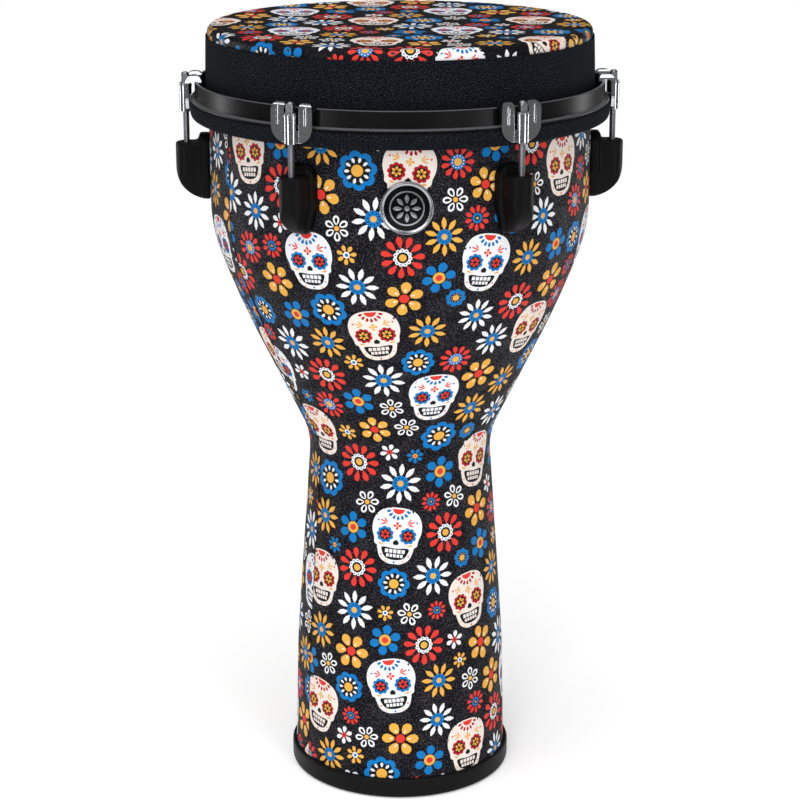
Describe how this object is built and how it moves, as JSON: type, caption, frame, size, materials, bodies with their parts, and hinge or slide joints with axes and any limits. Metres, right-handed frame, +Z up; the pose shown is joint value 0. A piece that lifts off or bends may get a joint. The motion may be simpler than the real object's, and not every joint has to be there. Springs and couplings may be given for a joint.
{
  "type": "djembe",
  "caption": "Goblet hand drum with a printed fabric-wrapped shell, a film head on a black collar, a counterhoop with claws and tension rods, moulded lugs and a rubber foot ring.",
  "frame": {"origin": "centre of the foot ring's underside, on the floor", "axes": "+Z up along the drum's axis towards the head, -Y towards the badge, tension stations every 60 degrees with two of them on the X axis"},
  "size_m": [0.348, 0.3236, 0.61],
  "materials": {
    "shell_fibre": "pressed fibre-composite shell wall",
    "printed_fabric": "charcoal woven wrap with a flower and sugar-skull print",
    "printed_film": "satin film head with the same print",
    "collar_fabric": "black woven cloth",
    "rubber": "satin black rubber",
    "badge_metal": "polished silver rim",
    "badge_dome": "clear-coated black dome with a plain star mark",
    "chrome": "chrome plated",
    "black_steel": "satin black powder coat",
    "lug_plastic": "moulded black plastic",
    "aluminium": "mill finish",
    "brass": "turned brass",
    "zinc_steel": "zinc plated"
  },
  "bodies": {
    "drum": {"shell": "shell_fibre", "shell_wrap": "printed_fabric", "base_ring": "rubber", "badge_bezel": "badge_metal", "badge_dome": "badge_dome", "head_film": "printed_film", "lug_screws": "zinc_steel", "lug_washers": "zinc_steel", "lug_1": "lug_plastic", "lug_2": "lug_plastic", "lug_3": "lug_plastic", "lug_4": "lug_plastic", "lug_5": "lug_plastic", "lug_6": "lug_plastic", "swivel_nut_1": "brass", "swivel_nut_2": "brass", "swivel_nut_3": "brass", "swivel_nut_4": "brass", "swivel_nut_5": "brass", "swivel_nut_6": "brass"},
    "hoop": {"head_collar": "collar_fabric", "flesh_hoop": "aluminium", "collar_roll": "collar_fabric", "counterhoop": "black_steel", "claw_1": "chrome", "claw_2": "chrome", "claw_3": "chrome", "claw_4": "chrome", "claw_5": "chrome", "claw_6": "chrome", "rod_washer_1": "chrome", "rod_washer_2": "chrome", "rod_washer_3": "chrome", "rod_washer_4": "chrome", "rod_washer_5": "chrome", "rod_washer_6": "chrome"},
    "rod_1": {"tension_rod_1": "chrome"},
    "rod_2": {"tension_rod_2": "chrome"},
    "rod_3": {"tension_rod_3": "chrome"},
    "rod_4": {"tension_rod_4": "chrome"},
    "rod_5": {"tension_rod_5": "chrome"},
    "rod_6": {"tension_rod_6": "chrome"}
  },
  "joints": [
    {"name": "hoop_travel", "type": "slide", "parent": "drum", "child": "hoop", "axis": [0, 0, -1], "range_m": [-0.003, 0.006], "deforming": ["head_collar"]},
    {"name": "rod_1_turn", "type": "hinge", "parent": "hoop", "child": "rod_1", "pos_m": [0.08265, -0.14315, 0.53], "axis": [0, 0, -1], "range_deg": [-1351, 2701]},
    {"name": "rod_2_turn", "type": "hinge", "parent": "hoop", "child": "rod_2", "pos_m": [0.1653, 0, 0.53], "axis": [0, 0, -1], "range_deg": [-1351, 2701]},
    {"name": "rod_3_turn", "type": "hinge", "parent": "hoop", "child": "rod_3", "pos_m": [0.08265, 0.14315, 0.53], "axis": [0, 0, -1], "range_deg": [-1351, 2701]},
    {"name": "rod_4_turn", "type": "hinge", "parent": "hoop", "child": "rod_4", "pos_m": [-0.08265, 0.14315, 0.53], "axis": [0, 0, -1], "range_deg": [-1351, 2701]},
    {"name": "rod_5_turn", "type": "hinge", "parent": "hoop", "child": "rod_5", "pos_m": [-0.1653, 0, 0.53], "axis": [0, 0, -1], "range_deg": [-1351, 2701]},
    {"name": "rod_6_turn", "type": "hinge", "parent": "hoop", "child": "rod_6", "pos_m": [-0.08265, -0.14315, 0.53], "axis": [0, 0, -1], "range_deg": [-1351, 2701]}
  ],
  "couplings": [
    {"joint": "rod_1_turn", "follows": "hoop_travel", "rad_per_m": 7854},
    {"joint": "rod_2_turn", "follows": "hoop_travel", "rad_per_m": 7854},
    {"joint": "rod_3_turn", "follows": "hoop_travel", "rad_per_m": 7854},
    {"joint": "rod_4_turn", "follows": "hoop_travel", "rad_per_m": 7854},
    {"joint": "rod_5_turn", "follows": "hoop_travel", "rad_per_m": 7854},
    {"joint": "rod_6_turn", "follows": "hoop_travel", "rad_per_m": 7854}
  ]
}
